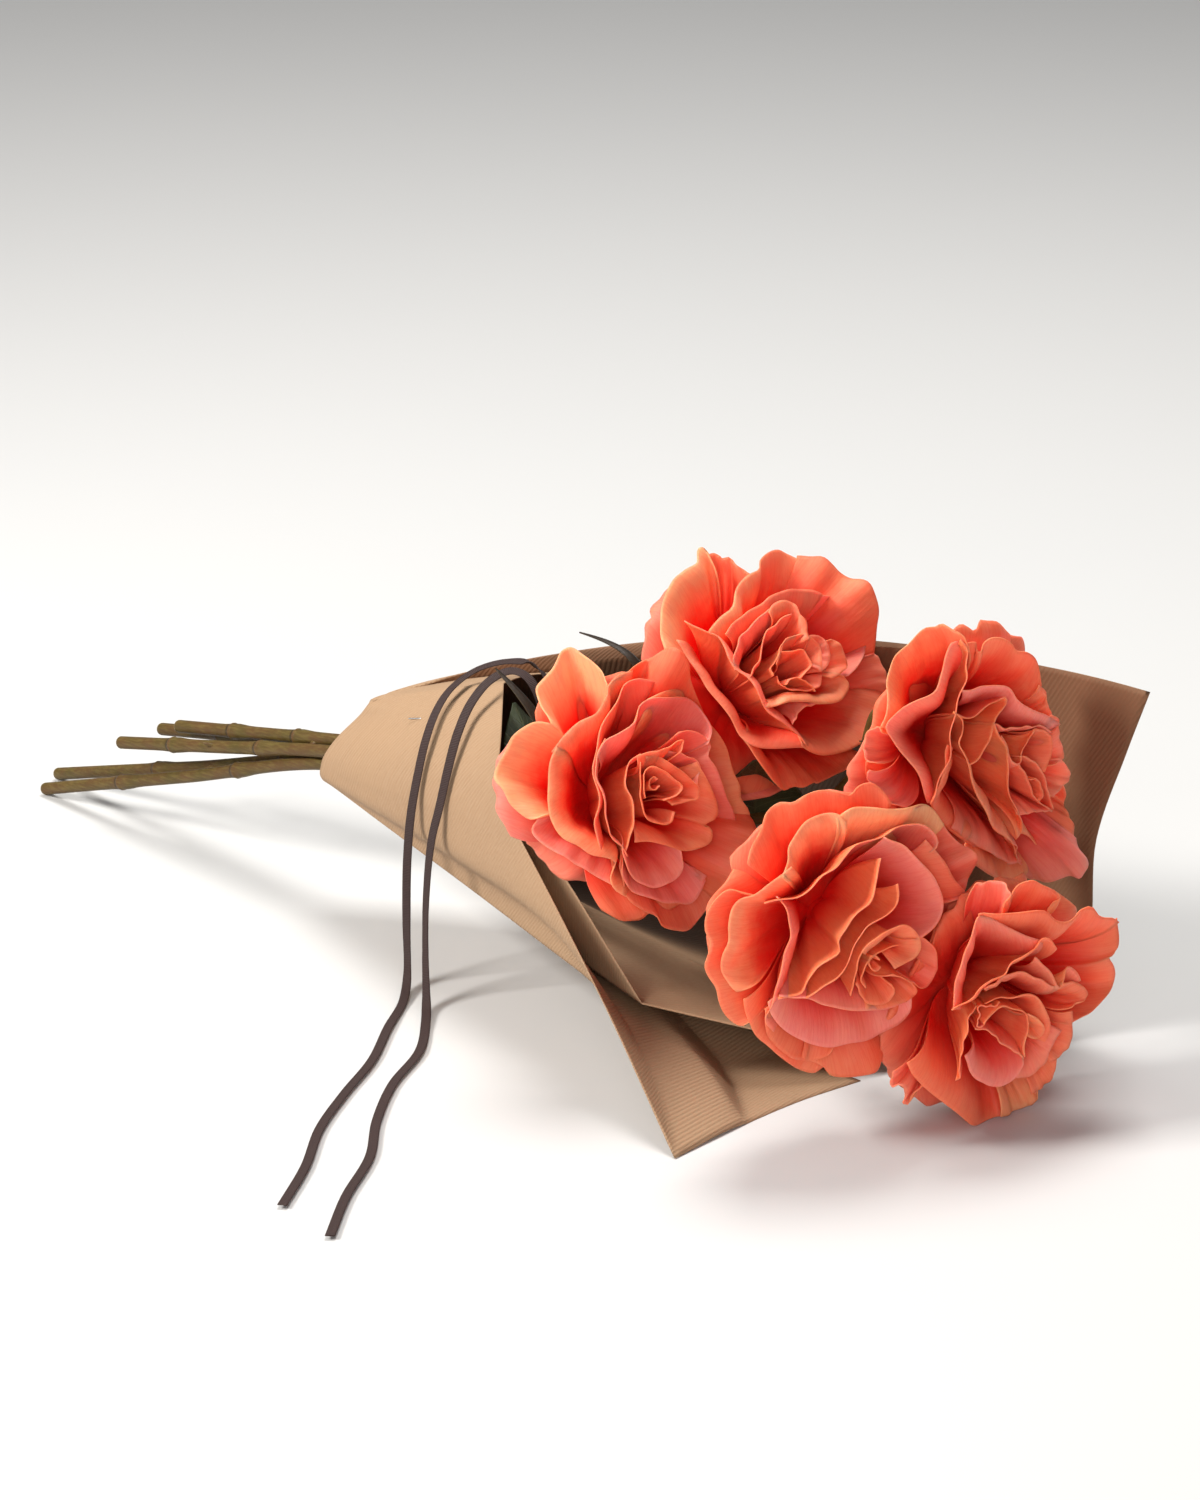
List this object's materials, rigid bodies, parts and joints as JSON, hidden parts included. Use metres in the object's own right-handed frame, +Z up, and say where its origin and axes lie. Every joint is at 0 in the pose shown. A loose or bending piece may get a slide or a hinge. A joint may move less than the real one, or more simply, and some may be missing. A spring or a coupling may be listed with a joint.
{
  "type": "bunch of roses",
  "caption": "Bunch of open coral garden roses lying on its side in a rolled kraft paper wrap, with bare stem ends and a narrow ribbon whose tails hang over the paper.",
  "frame": {"origin": "on the surface that the bunch lies on, below the middle of its box, measured without the ribbon tails", "axes": "+X along the bunch from the cut stem ends to the blooms, +Z up, +Y to the far side, where the paper's tall corner stands"},
  "size_m": [0.6732, 0.4072, 0.2202],
  "materials": {
    "petals": "soft matte petals, coral with peach rims and deep red folds",
    "foliage": "olive green stems, calyxes and leaves with a slight sheen",
    "kraft_paper": "ribbed brown kraft paper, matte",
    "staple_wire": "bright wire",
    "ribbon": "mauve-brown woven ribbon"
  },
  "bodies": {
    "root": {"rose_1_bloom": "petals", "rose_1_stem": "foliage", "rose_2_bloom": "petals", "rose_2_stem": "foliage", "rose_3_bloom": "petals", "rose_3_stem": "foliage", "rose_4_bloom": "petals", "rose_4_stem": "foliage", "rose_5_bloom": "petals", "rose_5_stem": "foliage", "kraft_paper": "kraft_paper", "staple": "staple_wire", "ribbon_tie": "ribbon", "ribbon_tail_left": "ribbon", "ribbon_tail_right": "ribbon"}
  },
  "joints": []
}
